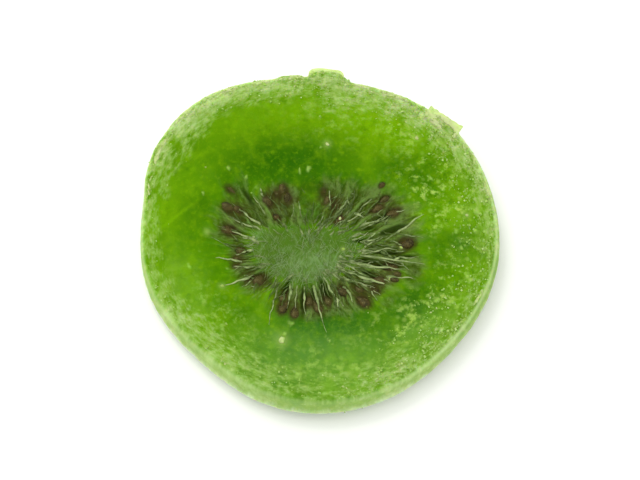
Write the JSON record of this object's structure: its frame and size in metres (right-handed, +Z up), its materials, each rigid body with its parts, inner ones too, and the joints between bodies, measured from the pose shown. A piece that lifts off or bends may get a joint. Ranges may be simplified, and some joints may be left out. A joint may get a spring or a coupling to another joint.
{
  "type": "candied kiwi slice",
  "caption": "Thin round slice of candied green kiwi with a pale oval core, a ring of dark seeds and a sugared rim, lying flat.",
  "frame": {"origin": "middle of the slice's footprint, on the surface that it lies on", "axes": "+Z up out of the shown cut face, +X along the wider way across the slice and the long way of the core"},
  "size_m": [0.054, 0.053, 0.0067],
  "materials": {
    "flesh": "moist, slightly translucent jelly under a thin dusting of sugar",
    "core": "pale, fibrous, matte",
    "seed": "dark brown, glossy",
    "sugar": "fine frosted crystals"
  },
  "bodies": {
    "root": {"kiwi_slice": "flesh"}
  },
  "joints": []
}
